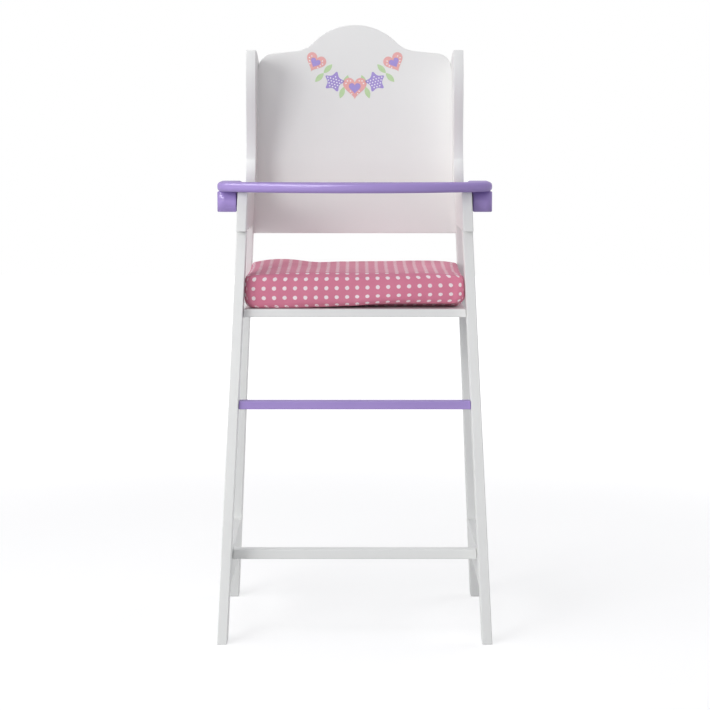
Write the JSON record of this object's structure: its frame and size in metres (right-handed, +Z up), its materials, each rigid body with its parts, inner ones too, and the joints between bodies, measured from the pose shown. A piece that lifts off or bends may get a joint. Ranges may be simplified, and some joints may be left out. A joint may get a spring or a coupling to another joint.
{
  "type": "doll high chair",
  "caption": "Wooden high chair for dolls: splayed legs, shaped back with side wings, loose seat cushion, footrest and a tray that swings up and over the back.",
  "frame": {"origin": "floor under the middle of the chair's overall box", "axes": "+X across the chair to its left-hand side seen from behind, -Y the chair's front, +Z up"},
  "size_m": [0.327, 0.3139, 0.7225],
  "materials": {
    "white_paint": "smooth satin white lacquer on board",
    "lavender_paint": "smooth satin lavender lacquer on board",
    "zinc_steel": "bright zinc plate",
    "beech": "bare turned beech",
    "pink_cotton": "woven cotton with white polka dots"
  },
  "bodies": {
    "chair": {"front_leg_left": "white_paint", "front_leg_right": "white_paint", "rear_leg_left": "white_paint", "rear_leg_right": "white_paint", "arm_rail_left": "white_paint", "arm_rail_right": "white_paint", "side_stretcher_left": "white_paint", "side_stretcher_right": "white_paint", "wing_left": "white_paint", "wing_right": "white_paint", "back_panel": "white_paint", "seat_board": "white_paint", "lower_front_rail": "white_paint", "footrest": "lavender_paint", "pivot_bolt_left": "zinc_steel", "pivot_bolt_right": "zinc_steel", "pivot_washer_left": "zinc_steel", "pivot_washer_right": "zinc_steel", "pivot_cap_nut_left": "zinc_steel", "pivot_cap_nut_right": "zinc_steel", "seat_screw_front_left": "zinc_steel", "seat_screw_front_right": "zinc_steel", "seat_screw_rear_left": "zinc_steel", "seat_screw_rear_right": "zinc_steel", "footrest_screw_left": "zinc_steel", "footrest_screw_right": "zinc_steel", "lower_rail_screw_left": "zinc_steel", "lower_rail_screw_right": "zinc_steel", "back_screw_low_left": "zinc_steel", "back_screw_low_right": "zinc_steel", "back_screw_high_left": "zinc_steel", "back_screw_high_right": "zinc_steel", "wing_screw_low_left": "zinc_steel", "wing_screw_low_right": "zinc_steel", "wing_screw_high_left": "zinc_steel", "wing_screw_high_right": "zinc_steel", "front_leg_dowel_left": "beech", "front_leg_dowel_right": "beech", "rear_leg_dowel_left": "beech", "rear_leg_dowel_right": "beech", "wing_dowel_front_left": "beech", "wing_dowel_front_right": "beech", "wing_dowel_rear_left": "beech", "wing_dowel_rear_right": "beech", "stretcher_dowel_front_left": "beech", "stretcher_dowel_front_right": "beech", "stretcher_dowel_rear_left": "beech", "stretcher_dowel_rear_right": "beech", "seat_cushion": "pink_cotton"},
    "tray": {"tray_board": "lavender_paint", "tray_arm_left": "lavender_paint", "tray_arm_right": "lavender_paint", "tray_screw_front_left": "zinc_steel", "tray_screw_front_right": "zinc_steel", "tray_screw_rear_left": "zinc_steel", "tray_screw_rear_right": "zinc_steel"}
  },
  "joints": [
    {"name": "tray_hinge", "type": "hinge", "parent": "chair", "child": "tray", "pos_m": [0, 0.12001, 0.512], "axis": [-1, 0, 0], "range_deg": [0, 250]}
  ]
}
